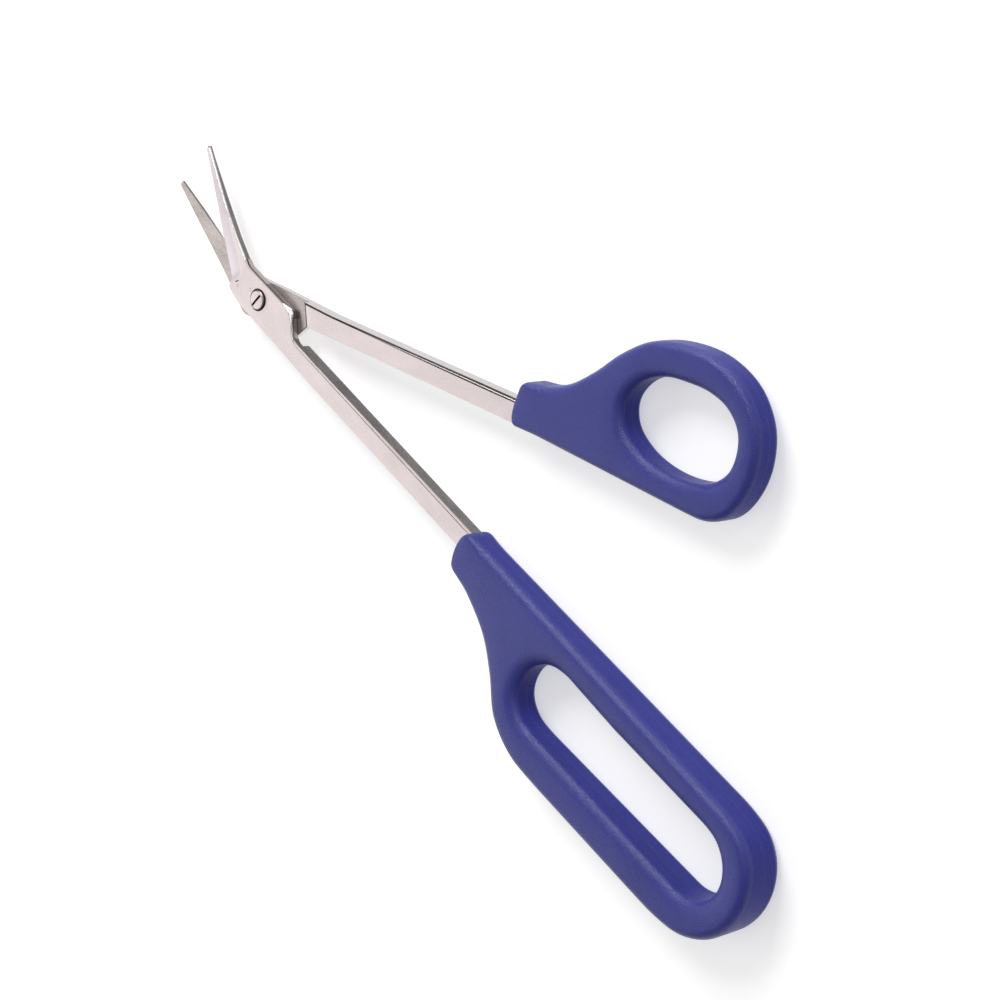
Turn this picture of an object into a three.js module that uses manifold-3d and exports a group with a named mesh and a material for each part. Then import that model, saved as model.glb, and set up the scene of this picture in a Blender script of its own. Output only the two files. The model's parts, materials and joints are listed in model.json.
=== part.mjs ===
// Long-reach angled nail scissors: two steel arms that cross at a slotted pivot screw, each ending in a
// moulded plastic grip, a thumb ring on one and a four-finger loop on the other. Millimetres.
//
// Each arm is drawn in its own arm frame: the pivot axis is Z through the origin, the shank runs along +X to
// the grip, the blade points to -X and is bent towards +Y, and Z = 0 is the plane where the two blades slide
// on each other. The rear arm is then turned about Z to the half-open position, and the whole is centred.

import * as THREE from "three";
import { mergeVertices } from "three/addons/utils/BufferGeometryUtils.js";
import Module from "manifold-3d";

const wasm = await Module();
wasm.setup();

// ---- driving dimensions ----

const OPEN_ANGLE = THREE.MathUtils.degToRad(19.2); // between the arms as stored, half open

// steel
const LAP = 1.75; // half of the steel's thickness: what each arm keeps where they cross
const SLIDE_GAP = 0.05; // each blade's inner face to the sliding plane
const EDGE_RISE = 0.65; // chamfer along the steel's outer edges: its height
const EDGE_RUN = 0.3; // and its width
const CUTTING_EDGE = 0.25; // thickness left at the cutting edge
const GRIND_WIDTH = 5.3; // from the cutting edge up to where the ground facet meets the full thickness
const FRONT_SHANK = { inner: -0.8, outer: -5.2 }; // Y of the shank's two sides in the arm frame
const REAR_SHANK = { inner: -0.9, outer: 3.75 };
const TANG_INSET = 0.7; // the tang is narrower than the shank by this on each side
const TANG_LENGTH = 30;
const SHANK_IN_COLLAR = 3; // full-width shank inside the grip's collar, before the tang
const TANG_GAP = 0.2; // between the steel and the grip's pocket

// pivot screw
const SCREW_RADIUS = 1.5;
const RUNNING_GAP = 0.05; // radial, in the front blade
const THREAD_GAP = 0.03; // radial, in the rear blade, which the screw is fixed in
const HEAD_RADIUS = 2.2;
const HEAD_HEIGHT = 0.55;
const HEAD_GAP = 0.05; // under the head, so that the front blade turns freely
const SLOT = { width: 0.55, depth: 0.35, angle: THREE.MathUtils.degToRad(55) }; // angle in the rear arm
const ROUND_SIDES = 48;

// grips
const COLLAR_X = 76; // where the finger grip's collar starts
const THUMB_COLLAR_X = 77;
const FINGER_HALF_THICKNESS = 3.4; // at the collar
const FINGER_FLARE = 0.019; // the half thickness grows by this for each millimetre towards the far end
const THUMB_HALF_THICKNESS = 3.5;
const FINGER_EDGE = 2.1; // radius of the rounded edges
const THUMB_EDGE = 1.9;
const EDGE_STEPS = 4;

const CURVE_STEPS = 6; // straight pieces in each curve of an outline

// ---- solids ----

function solid(geometry) {
  const bare = geometry.clone();
  bare.deleteAttribute("normal");
  bare.deleteAttribute("uv");
  const merged = mergeVertices(bare, 1e-4);
  const mesh = new wasm.Mesh({
    numProp: 3,
    vertProperties: new Float32Array(merged.attributes.position.array),
    triVerts: new Uint32Array(merged.index.array),
  });
  return new wasm.Manifold(mesh);
}

function geometryOf(manifold) {
  const mesh = manifold.getMesh();
  const geometry = new THREE.BufferGeometry();
  geometry.setAttribute("position", new THREE.BufferAttribute(mesh.vertProperties, 3));
  geometry.setIndex(new THREE.BufferAttribute(mesh.triVerts, 1));
  geometry.computeVertexNormals();
  return geometry;
}

function box(x0, x1, y0, y1, z0, z1) {
  const geometry = new THREE.BoxGeometry(x1 - x0, y1 - y0, z1 - z0);
  geometry.translate((x0 + x1) / 2, (y0 + y1) / 2, (z0 + z1) / 2);
  return solid(geometry);
}

function cylinder(radius, z0, z1) {
  const geometry = new THREE.CylinderGeometry(radius, radius, z1 - z0, ROUND_SIDES);
  geometry.rotateX(Math.PI / 2);
  geometry.translate(0, 0, (z0 + z1) / 2);
  return solid(geometry);
}

// A plate of the given outline, 2 * half thick about Z = 0, whose outer edges fall away by rise over run.
function plateGeometry(shape, half, rise, run, steps) {
  const geometry = new THREE.ExtrudeGeometry(shape, {
    depth: 2 * (half - rise),
    bevelThickness: rise,
    bevelSize: run,
    bevelOffset: -run,
    bevelSegments: steps,
    curveSegments: CURVE_STEPS,
  });
  geometry.translate(0, 0, rise - half);
  return geometry;
}

const plate = (shape, half, rise, run, steps) => solid(plateGeometry(shape, half, rise, run, steps));

// ---- steel arms ----

const FAR = 300; // larger than the object, for cutting boxes

const frontHalf = (manifold, from) => manifold.intersect(box(-FAR, FAR, -FAR, FAR, from, FAR));
const rearHalf = (manifold, to) => manifold.intersect(box(-FAR, FAR, -FAR, FAR, -FAR, to));

// The shank's grip end as seen from above: full width into the collar, then the tang.
function tangPath(shape, shank, collarX) {
  const towardsOuter = Math.sign(shank.outer - shank.inner);
  const shoulder = collarX + SHANK_IN_COLLAR;
  const tip = collarX + TANG_LENGTH;
  shape.lineTo(shoulder, shank.outer);
  shape.lineTo(shoulder, shank.outer - towardsOuter * TANG_INSET);
  shape.lineTo(tip, shank.outer - towardsOuter * TANG_INSET);
  shape.lineTo(tip, shank.inner + towardsOuter * TANG_INSET);
  shape.lineTo(shoulder, shank.inner + towardsOuter * TANG_INSET);
  shape.lineTo(shoulder, shank.inner);
}

// The front arm from above: blade, ricasso, shank and tang.
function frontArmOutline() {
  const s = new THREE.Shape();
  s.moveTo(-33.2, 16.6);
  s.quadraticCurveTo(-33.4, 16.1, -33, 15.75); // blunt tip
  s.lineTo(-28.1, 12);
  s.lineTo(-19, 4.6);
  s.lineTo(-10.4, -2.5); // heel of the cutting edge
  s.quadraticCurveTo(-8.6, -3.4, -6.2, -4.1);
  s.quadraticCurveTo(-4.5, -4.5, -2.5, -4.5);
  s.lineTo(12, -4.8);
  s.lineTo(24, FRONT_SHANK.outer);
  tangPath(s, FRONT_SHANK, COLLAR_X);
  s.lineTo(16.5, FRONT_SHANK.inner);
  s.quadraticCurveTo(13.4, FRONT_SHANK.inner, 12.4, 0); // shoulder of the ricasso
  s.lineTo(9.9, 3.4);
  s.quadraticCurveTo(9.3, 4.2, 8.3, 4.2);
  s.lineTo(-6.6, 4.1);
  s.lineTo(-13.3, 7.2); // spine
  s.lineTo(-21.2, 11.5);
  s.lineTo(-31.7, 17.45);
  s.quadraticCurveTo(-32.9, 17.6, -33.2, 16.6);
  return s;
}

// The rear arm from above, drawn as the mirror twin of the front one except for its blade, which is bent to
// the same side and carries its cutting edge where the front blade has its spine.
function rearArmOutline() {
  const s = new THREE.Shape();
  s.moveTo(-32.9, 16.7);
  s.quadraticCurveTo(-33.1, 17.5, -32, 17.4); // blunt tip
  s.lineTo(-23.5, 13.05);
  s.lineTo(-13.3, 7.3); // heel of the cutting edge
  s.lineTo(-6.6, 4.1);
  s.lineTo(4, 4.1);
  s.quadraticCurveTo(11, 3.65, 24, REAR_SHANK.outer);
  tangPath(s, REAR_SHANK, THUMB_COLLAR_X);
  s.lineTo(16.8, REAR_SHANK.inner);
  s.quadraticCurveTo(14.8, -1, 13.9, -1.9); // shoulder of the ricasso
  s.lineTo(11.9, -3.9);
  s.quadraticCurveTo(11, -4.9, 9.8, -4.9);
  s.lineTo(-4.4, -4.9);
  s.quadraticCurveTo(-6, -4.8, -7.2, -3.6);
  s.lineTo(-13.75, 1.85); // spine
  s.lineTo(-19.1, 5.9);
  s.lineTo(-26.2, 11.1);
  s.lineTo(-32.4, 15.9);
  s.quadraticCurveTo(-32.8, 16.2, -32.9, 16.7);
  return s;
}

// The region of an arm's outline beyond the shoulder where the shank has its full thickness.
function shankRegion(outerX, innerX, shank) {
  const s = new THREE.Shape();
  const side = Math.sign(shank.outer - shank.inner);
  s.moveTo(outerX, shank.outer + side);
  s.lineTo(FAR, shank.outer + side);
  s.lineTo(FAR, shank.inner - side);
  s.lineTo(innerX, shank.inner - side);
  s.closePath();
  const geometry = new THREE.ExtrudeGeometry(s, { depth: 4 * LAP, bevelEnabled: false });
  geometry.translate(0, 0, -2 * LAP);
  return solid(geometry);
}

// What the grinding wheel takes off a blade's outer face: everything beyond a plane that rises from the
// cutting edge to the full thickness. The cut starts past the tip and ends square at the heel. outward is the
// sign of Z on the blade's outer face.
function grinding(tip, heel, outward) {
  const length = 60;
  const below = 2;
  const above = 6;
  const slope = (LAP - CUTTING_EDGE) / GRIND_WIDTH;
  const s = new THREE.Shape();
  s.moveTo(-below, CUTTING_EDGE - below * slope);
  s.lineTo(GRIND_WIDTH + above, LAP + above * slope);
  s.lineTo(-below, LAP + above * slope);
  s.closePath();
  const geometry = new THREE.ExtrudeGeometry(s, { depth: length, bevelEnabled: false });
  geometry.translate(0, 0, -length);
  const along = new THREE.Vector3(heel[0] - tip[0], heel[1] - tip[1], 0).normalize();
  const up = new THREE.Vector3(0, 0, outward);
  const towardsSpine = new THREE.Vector3().crossVectors(up, along);
  const place = new THREE.Matrix4().makeBasis(towardsSpine, up, along);
  place.setPosition(heel[0], heel[1], 0);
  geometry.applyMatrix4(place);
  return solid(geometry);
}

function frontBlade() {
  const whole = plate(frontArmOutline(), LAP, EDGE_RISE, EDGE_RUN, 1);
  const shank = whole.intersect(shankRegion(14.4, 16.2, FRONT_SHANK));
  return frontHalf(whole, SLIDE_GAP)
    .add(shank)
    .subtract(grinding([-33, 15.75], [-9.9, -2.9], 1))
    .subtract(cylinder(SCREW_RADIUS + RUNNING_GAP, -2 * LAP, 2 * LAP));
}

function rearBlade() {
  const whole = plate(rearArmOutline(), LAP, EDGE_RISE, EDGE_RUN, 1);
  const shank = whole.intersect(shankRegion(13.9, 15.7, REAR_SHANK));
  return rearHalf(whole, -SLIDE_GAP)
    .add(shank)
    .subtract(grinding([-32, 17.4], [-7.6, 4.6], -1))
    .subtract(cylinder(SCREW_RADIUS + THREAD_GAP, -2 * LAP, 2 * LAP));
}

// ---- pivot screw ----

function pivotScrew() {
  const seat = LAP + HEAD_GAP;
  const top = seat + HEAD_HEIGHT;
  const profile = [
    [0, -LAP],
    [SCREW_RADIUS - 0.2, -LAP],
    [SCREW_RADIUS, -LAP + 0.2],
    [SCREW_RADIUS, seat],
    [HEAD_RADIUS, seat],
    [HEAD_RADIUS, top - 0.3],
    [HEAD_RADIUS - 0.12, top - 0.1],
    [HEAD_RADIUS - 0.35, top],
    [0, top],
  ].map(([radius, height]) => new THREE.Vector2(radius, height));
  const turned = new THREE.LatheGeometry(profile, ROUND_SIDES);
  turned.rotateX(Math.PI / 2);
  const slot = new THREE.BoxGeometry(3 * HEAD_RADIUS, SLOT.width, 2 * SLOT.depth);
  slot.rotateZ(SLOT.angle);
  slot.translate(0, 0, top);
  return solid(turned).subtract(solid(slot));
}

// ---- grips ----

// The pocket in a grip that the shank's end and the tang fill.
function pocket(shank, collarX) {
  const low = Math.min(shank.inner, shank.outer);
  const high = Math.max(shank.inner, shank.outer);
  const half = LAP + TANG_GAP;
  const shoulder = collarX + SHANK_IN_COLLAR + TANG_GAP;
  const end = collarX + TANG_LENGTH + TANG_GAP;
  const inset = TANG_INSET - TANG_GAP;
  const mouth = box(collarX - 5, shoulder, low - TANG_GAP, high + TANG_GAP, -half, half);
  return mouth.add(box(collarX, end, low + inset, high - inset, -half, half));
}

// The finger grip from above: collar, straight bar on the inner side, and a loop for four fingers.
function fingerGripOutline() {
  const s = new THREE.Shape();
  s.moveTo(78.8, 0);
  s.quadraticCurveTo(76.2, -0.2, 75.6, -3);
  s.quadraticCurveTo(75.2, -5.6, 75.7, -7.8);
  s.quadraticCurveTo(76.2, -9.9, 79, -10);
  s.splineThru(points([84.4, -11.2], [91.5, -14.9], [97.1, -19.8], [103, -26.6], [111, -29.8], [120, -29.9]));
  s.lineTo(150, -28.7);
  s.splineThru(
    points([158.2, -28.2], [165.1, -25.8], [169.4, -21.1], [171, -13.8], [169.6, -6.6], [164.6, -0.9]),
  );
  s.quadraticCurveTo(161.6, 0.5, 156, 0.4);
  s.closePath();
  const hole = new THREE.Path();
  hole.moveTo(112.5, -6.4);
  hole.lineTo(128, -6.4);
  hole.lineTo(155.5, -5.4);
  hole.splineThru(points([161.3, -7], [164.3, -12.6], [161.5, -18.2], [155.5, -20.2]));
  hole.lineTo(113, -21.9);
  hole.splineThru(points([106.8, -20.4], [104.4, -15.6], [107.1, -9.2], [112.5, -6.4]));
  s.holes.push(hole);
  return s;
}

// The thumb grip from above: collar, straight inner side, and a ring.
function thumbGripOutline() {
  const s = new THREE.Shape();
  s.moveTo(79.5, -0.8);
  s.lineTo(124.5, -2.4);
  s.quadraticCurveTo(131, -2.6, 133.8, 0.9);
  s.splineThru(points([136, 5.4], [136.8, 11.2], [135.2, 18.6], [130, 24.5], [122, 27.6]));
  s.splineThru(points([114, 27.9], [106.7, 26.2], [100.6, 21.4], [95, 15.8], [89.6, 11.5], [84, 9.1]));
  s.lineTo(80.4, 8);
  s.quadraticCurveTo(77.2, 7, 77, 3.6);
  s.quadraticCurveTo(76.8, -0.6, 79.5, -0.8);
  const rim = points([131.7, 12.2], [128.4, 18.9], [118, 21.2], [108.6, 19], [103.8, 12.8]);
  rim.push(...points([107.6, 6.6], [117, 3.2], [127.6, 5.1], [131.7, 12.2]));
  const hole = new THREE.Path();
  hole.moveTo(rim[0].x, rim[0].y);
  hole.splineThru(rim.slice(1));
  s.holes.push(hole);
  return s;
}

function points(...pairs) {
  return pairs.map(([x, y]) => new THREE.Vector2(x, y));
}

// A grip moulding: the outline with rounded edges, its thickness growing by flare along X from the collar.
function gripMoulding(outline, half, edge, flare, collarX) {
  const geometry = plateGeometry(outline, half, edge, edge, EDGE_STEPS);
  const position = geometry.attributes.position;
  for (let i = 0; i < position.count; i += 1) {
    const growth = 1 + (flare * (position.getX(i) - collarX)) / half;
    position.setZ(i, position.getZ(i) * growth);
  }
  return solid(geometry);
}

function fingerGrip() {
  const half = FINGER_HALF_THICKNESS;
  const body = gripMoulding(fingerGripOutline(), half, FINGER_EDGE, FINGER_FLARE, COLLAR_X);
  return body.subtract(pocket(FRONT_SHANK, COLLAR_X));
}

function thumbGrip() {
  const body = gripMoulding(thumbGripOutline(), THUMB_HALF_THICKNESS, THUMB_EDGE, 0, THUMB_COLLAR_X);
  return body.subtract(pocket(REAR_SHANK, THUMB_COLLAR_X));
}

// ---- the assembly ----

const steel = () => new THREE.MeshStandardMaterial({ color: 0xdcd6d6, roughness: 0.3, metalness: 1 });
const plastic = () => new THREE.MeshStandardMaterial({ color: 0x3d3d94, roughness: 0.5, metalness: 0 });

function part(name, manifold, material) {
  const mesh = new THREE.Mesh(geometryOf(manifold), material);
  mesh.name = name;
  return mesh;
}

const frontArm = new THREE.Group();
frontArm.add(part("front_blade", frontBlade(), steel()));
frontArm.add(part("finger_grip", fingerGrip(), plastic()));

const rearArm = new THREE.Group();
rearArm.add(part("rear_blade", rearBlade(), steel()));
rearArm.add(part("pivot_screw", pivotScrew(), steel()));
rearArm.add(part("thumb_grip", thumbGrip(), plastic()));
rearArm.rotation.z = OPEN_ANGLE;

const scissors = new THREE.Group();
scissors.add(frontArm, rearArm);
scissors.updateMatrixWorld(true);
const middle = new THREE.Box3().setFromObject(scissors, true).getCenter(new THREE.Vector3());
scissors.position.set(-middle.x, -middle.y, -middle.z);

export default scissors;
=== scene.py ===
"""Looks for the long-reach nail scissors: satin steel arms, a slotted pivot screw and two moulded grips.

Shapes are drawn in each arm's own frame, in millimetres, as in the CAD source: the pivot axis is Z through
the origin, the shank runs along +X, the blade points to -X, and Z = 0 is the plane where the blades slide.
"""

import json
import math

import bmesh
import bpy
import numpy as np
from mathutils import Matrix, Vector
from mathutils.geometry import delaunay_2d_cdt


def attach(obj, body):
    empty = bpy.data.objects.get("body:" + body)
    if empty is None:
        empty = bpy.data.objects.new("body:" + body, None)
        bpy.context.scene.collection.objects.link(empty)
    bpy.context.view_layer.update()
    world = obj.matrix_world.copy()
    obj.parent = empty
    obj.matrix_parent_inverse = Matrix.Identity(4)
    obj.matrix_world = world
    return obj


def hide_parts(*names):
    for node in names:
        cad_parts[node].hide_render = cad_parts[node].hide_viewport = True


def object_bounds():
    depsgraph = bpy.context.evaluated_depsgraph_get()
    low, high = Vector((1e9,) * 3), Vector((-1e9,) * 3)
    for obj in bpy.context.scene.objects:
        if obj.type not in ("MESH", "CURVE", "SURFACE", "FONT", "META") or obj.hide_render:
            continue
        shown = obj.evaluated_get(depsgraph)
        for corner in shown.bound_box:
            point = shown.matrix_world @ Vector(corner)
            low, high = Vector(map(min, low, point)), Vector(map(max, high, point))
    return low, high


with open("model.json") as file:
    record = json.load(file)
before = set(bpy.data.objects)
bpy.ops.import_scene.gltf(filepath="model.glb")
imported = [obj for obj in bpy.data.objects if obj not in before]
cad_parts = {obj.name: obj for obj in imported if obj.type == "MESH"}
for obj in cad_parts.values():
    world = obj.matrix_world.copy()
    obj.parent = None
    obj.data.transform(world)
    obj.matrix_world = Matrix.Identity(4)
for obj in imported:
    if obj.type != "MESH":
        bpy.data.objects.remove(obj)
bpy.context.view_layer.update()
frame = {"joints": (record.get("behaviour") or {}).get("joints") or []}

MM = 0.001
PIVOT = Vector(frame["joints"][0]["pos_m"])
OPEN_ANGLE = math.radians(19.2)

FRONT = Matrix.Translation(PIVOT) @ Matrix.Scale(MM, 4)
REAR = Matrix.Translation(PIVOT) @ Matrix.Rotation(OPEN_ANGLE, 4, "Z") @ Matrix.Scale(MM, 4)

# ---------------------------------------------------------------- outlines


def rounded(corners, chord):
    """A closed outline from (x, y, radius) corners, each rounded by an arc in steps of chord degrees."""
    out = []
    n = len(corners)
    for i in range(n):
        p = np.array(corners[i][:2], float)
        before = np.array(corners[i - 1][:2], float) - p
        after = np.array(corners[(i + 1) % n][:2], float) - p
        room = 0.49 * min(np.linalg.norm(before), np.linalg.norm(after))
        before /= np.linalg.norm(before)
        after /= np.linalg.norm(after)
        turn = math.pi - math.acos(max(-1.0, min(1.0, float(before @ after))))
        radius = corners[i][2]
        if radius <= 0 or turn < 1e-3:
            out.append(p)
            continue
        reach = min(radius * math.tan(turn / 2), room)
        radius = reach / math.tan(turn / 2)
        middle = (before + after) / np.linalg.norm(before + after)
        centre = p + middle * radius / math.cos(turn / 2)
        a = p + before * reach - centre
        steps = max(2, math.ceil(math.degrees(turn) / chord))
        side = 1.0 if before[0] * after[1] - before[1] * after[0] < 0 else -1.0
        for k in range(steps + 1):
            w = side * turn * k / steps
            c, s = math.cos(w), math.sin(w)
            out.append(centre + np.array([a[0] * c - a[1] * s, a[0] * s + a[1] * c]))
    return np.array(out)


def spline_piece(p0, p1, p2, p3, steps):
    """Points after p1 up to p2 on a centripetal Catmull-Rom curve."""
    t1 = np.linalg.norm(p1 - p0) ** 0.5
    t2 = t1 + np.linalg.norm(p2 - p1) ** 0.5
    t3 = t2 + np.linalg.norm(p3 - p2) ** 0.5
    out = []
    for k in range(1, steps + 1):
        t = t1 + (t2 - t1) * k / steps
        a1 = (t1 - t) / t1 * p0 + t / t1 * p1
        a2 = (t2 - t) / (t2 - t1) * p1 + (t - t1) / (t2 - t1) * p2
        a3 = (t3 - t) / (t3 - t2) * p2 + (t - t2) / (t3 - t2) * p3
        b1 = (t2 - t) / t2 * a1 + t / t2 * a2
        b2 = (t3 - t) / (t3 - t1) * a2 + (t - t1) / (t3 - t1) * a3
        out.append((t2 - t) / (t2 - t1) * b1 + (t - t1) / (t2 - t1) * b2)
    return out


def resample(outline, step):
    """The closed outline in equal steps of about the given length."""
    closed = np.vstack([outline, outline[:1]])
    length = np.concatenate([[0], np.cumsum(np.linalg.norm(np.diff(closed, axis=0), axis=1))])
    count = int(round(length[-1] / step))
    at = np.arange(count) * length[-1] / count
    return np.stack([np.interp(at, length, closed[:, k]) for k in range(2)], 1)


def split_long(outline, longest):
    """The closed outline with its long straight sides divided."""
    out = []
    for i in range(len(outline)):
        a, b = outline[i], outline[(i + 1) % len(outline)]
        parts = max(1, math.ceil(np.linalg.norm(b - a) / longest))
        out.extend(a + (b - a) * k / parts for k in range(parts))
    return np.array(out)


def relax(outline, times, share=1.0):
    """Evens out the curvature of an equally spaced closed outline. Each pass shrinks it and swells it back,
    so it keeps its size. share is 0 to 1 per point."""
    shrink, swell = 0.5, -0.53
    for _ in range(times):
        for weight in (shrink * share, swell * share):
            middle = (np.roll(outline, 1, 0) + np.roll(outline, -1, 0)) / 2
            outline = outline + weight * (middle - outline)
    return outline


def counter_clockwise(outline):
    x, y = outline.T
    area = np.sum(x * np.roll(y, -1) - np.roll(x, -1) * y)
    return outline if area > 0 else outline[::-1]


def inward_normals(outline):
    """Normals pointing inside a counter-clockwise outline, longer at corners so that sides stay parallel."""
    forward = np.roll(outline, -1, 0) - outline
    forward /= np.linalg.norm(forward, axis=1)[:, None]
    normal = np.stack([-forward[:, 1], forward[:, 0]], 1)
    mean = normal + np.roll(normal, 1, 0)
    mean /= np.linalg.norm(mean, axis=1)[:, None]
    shortest = 0.5
    stretch = np.maximum((mean * normal).sum(1), shortest)
    return mean / stretch[:, None]


def distance(points, outline):
    """Distance from each point to a closed outline."""
    a = outline
    b = np.roll(outline, -1, 0)
    ab = b - a
    best = np.empty(len(points))
    chunk = 2000
    for start in range(0, len(points), chunk):
        p = points[start : start + chunk, None, :]
        t = ((p - a) * ab).sum(2) / (ab * ab).sum(1)
        near = a + np.clip(t, 0, 1)[:, :, None] * ab
        best[start : start + chunk] = np.sqrt(((p - near) ** 2).sum(2)).min(1)
    return best


def inside(points, outline):
    """Whether each point is inside a closed outline."""
    x, y = points.T
    result = np.zeros(len(points), bool)
    for (x0, y0), (x1, y1) in zip(outline, np.roll(outline, -1, 0)):
        if y0 == y1:
            continue
        result ^= ((y0 > y) != (y1 > y)) & (x < (x1 - x0) * (y - y0) / (y1 - y0) + x0)
    return result


# ---------------------------------------------------------------- mesh tools


def make_object(name, mesh):
    piece = bpy.data.objects.new(name, mesh)
    bpy.context.scene.collection.objects.link(piece)
    return piece


def mesh_from(name, vertices, faces, indices=None):
    mesh = bpy.data.meshes.new(name)
    mesh.from_pydata([tuple(v) for v in vertices], [], [tuple(f) for f in faces])
    if indices is not None:
        mesh.polygons.foreach_set("material_index", indices)
    mesh.update()
    return mesh


def plate(name, outline, profile):
    """A closed plate from an outline. profile runs from the underside to the top as (inset, height, index of
    the strip above it), each of which may be a function of the outline's points."""
    outline = counter_clockwise(outline)
    normals = inward_normals(outline)
    n = len(outline)
    vertices = []
    kinds = []
    for inset, height, kind in profile:
        kinds.append(kind(outline) if callable(kind) else [kind] * n)
        inset = inset(outline) if callable(inset) else np.full(n, float(inset))
        height = height(outline) if callable(height) else np.full(n, float(height))
        ring = outline + normals * inset[:, None]
        vertices.extend((x, y, z) for (x, y), z in zip(ring, height))
    faces, indices = [], []
    for k in range(len(profile) - 1):
        for i in range(n):
            j = (i + 1) % n
            faces.append((k * n + i, k * n + j, (k + 1) * n + j, (k + 1) * n + i))
            indices.append(int(kinds[k][i]))
    faces.append(tuple(reversed(range(n))))
    indices.append(FACE)
    faces.append(tuple(range((len(profile) - 1) * n, len(profile) * n)))
    indices.append(FACE)
    return make_object(name, mesh_from(name, vertices, faces, indices))


def block(x0, x1, y0, y1, z0, z1, index):
    """A cutting box in the arm's frame."""
    corners = [(x, y, z) for z in (z0, z1) for y in (y0, y1) for x in (x0, x1)]
    faces = [(0, 2, 3, 1), (4, 5, 7, 6), (0, 1, 5, 4), (2, 6, 7, 3), (0, 4, 6, 2), (1, 3, 7, 5)]
    return make_object("cutter", mesh_from("cutter", corners, faces, [index] * 6))


def prism(outline, z0, z1, index):
    """An upright cutting solid from an outline."""
    outline = counter_clockwise(np.array(outline, float))
    n = len(outline)
    vertices = [(x, y, z) for z in (z0, z1) for x, y in outline]
    faces = [tuple(reversed(range(n))), tuple(range(n, 2 * n))]
    faces += [(i, (i + 1) % n, n + (i + 1) % n, n + i) for i in range(n)]
    return make_object("cutter", mesh_from("cutter", vertices, faces, [index] * len(faces)))


def revolve(name, profile, sides, index=0, centre=(0.0, 0.0)):
    """A closed turned solid from (radius, height) points that start and end on the axis."""
    vertices = [(centre[0], centre[1], profile[0][1]), (centre[0], centre[1], profile[-1][1])]
    rings = profile[1:-1]
    for radius, height in rings:
        for i in range(sides):
            w = 2 * math.pi * i / sides
            vertices.append((centre[0] + radius * math.cos(w), centre[1] + radius * math.sin(w), height))
    faces = []
    for i in range(sides):
        j = (i + 1) % sides
        faces.append((0, 2 + j, 2 + i))
        last = 2 + (len(rings) - 1) * sides
        faces.append((1, last + i, last + j))
        for k in range(len(rings) - 1):
            a = 2 + k * sides
            faces.append((a + i, a + j, a + sides + j, a + sides + i))
    return make_object(name, mesh_from(name, vertices, faces, [index] * len(faces)))


def cut(piece, cutter):
    """Cuts the piece with the cutter, which is used up. New faces keep the cutter's material indices."""
    modifier = piece.modifiers.new("cut", "BOOLEAN")
    modifier.operation = "DIFFERENCE"
    modifier.solver = "EXACT"
    modifier.object = cutter
    bpy.context.view_layer.update()
    result = bpy.data.meshes.new_from_object(piece.evaluated_get(bpy.context.evaluated_depsgraph_get()))
    piece.modifiers.clear()
    piece.data = result
    bpy.data.objects.remove(cutter)


MERGE_DISTANCE = 1e-4
STEEL_SHARP_ANGLE = 28.0
GRIP_SHARP_ANGLE = 60.0


def place(piece, matrix, body, node, materials, sharp):
    """Finishes a piece: merges doubles, sets the arm's place, its shading, materials and body, and hides the
    CAD part it stands for.
    """
    work = bmesh.new()
    work.from_mesh(piece.data)
    bmesh.ops.remove_doubles(work, verts=work.verts, dist=MERGE_DISTANCE)
    bmesh.ops.dissolve_degenerate(work, edges=work.edges, dist=MERGE_DISTANCE)
    work.to_mesh(piece.data)
    work.free()
    piece.data.transform(matrix)
    piece.data.polygons.foreach_set("use_smooth", [True] * len(piece.data.polygons))
    piece.data.set_sharp_from_angle(angle=math.radians(sharp))
    indices = [p.material_index for p in piece.data.polygons]
    piece.data.materials.clear()
    for material in materials:
        piece.data.materials.append(material)
    piece.data.polygons.foreach_set("material_index", indices)
    piece.data.update()
    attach(piece, body)
    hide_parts(node)
    return piece


# ---------------------------------------------------------------- materials

# material indices on every steel piece
FACE, SIDE, BRIGHT, LINE, INNER, GROUND, LIGHT_SIDE, BEVEL = range(8)


def new_material(name):
    material = bpy.data.materials.new(name)
    material.use_nodes = True
    nodes = material.node_tree.nodes
    return material, nodes, material.node_tree.links, nodes["Principled BSDF"]


def coordinates(nodes, links, angle, scale):
    """Object coordinates in millimetres turned to lie along an arm, then stretched by scale."""
    source = nodes.new("ShaderNodeTexCoord")
    mapping = nodes.new("ShaderNodeMapping")
    mapping.vector_type = "TEXTURE"
    mapping.inputs["Rotation"].default_value = (0, 0, angle)
    mapping.inputs["Scale"].default_value = tuple(MM / s for s in scale)
    links.new(source.outputs["Object"], mapping.inputs["Vector"])
    return mapping.outputs["Vector"]


def noise(nodes, links, vector, scale, detail=2.0, roughness=0.5):
    node = nodes.new("ShaderNodeTexNoise")
    node.inputs["Scale"].default_value = scale
    node.inputs["Detail"].default_value = detail
    node.inputs["Roughness"].default_value = roughness
    links.new(vector, node.inputs["Vector"])
    return node.outputs["Fac"]


def ramp(nodes, links, value, stops):
    node = nodes.new("ShaderNodeValToRGB")
    while len(node.color_ramp.elements) < len(stops):
        node.color_ramp.elements.new(0.5)
    for element, (position, colour) in zip(node.color_ramp.elements, stops):
        element.position = position
        element.color = (*colour, 1.0) if len(colour) == 3 else colour
    links.new(value, node.inputs["Fac"])
    return node.outputs["Color"]


def to_range(nodes, links, value, low, high, full=1.0, smooth=False):
    """Maps a value from 0 to full onto low to high."""
    node = nodes.new("ShaderNodeMapRange")
    node.interpolation_type = "SMOOTHSTEP" if smooth else "LINEAR"
    node.inputs["From Max"].default_value = full
    node.inputs["To Min"].default_value = low
    node.inputs["To Max"].default_value = high
    links.new(value, node.inputs["Value"])
    return node.outputs["Result"]


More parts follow.
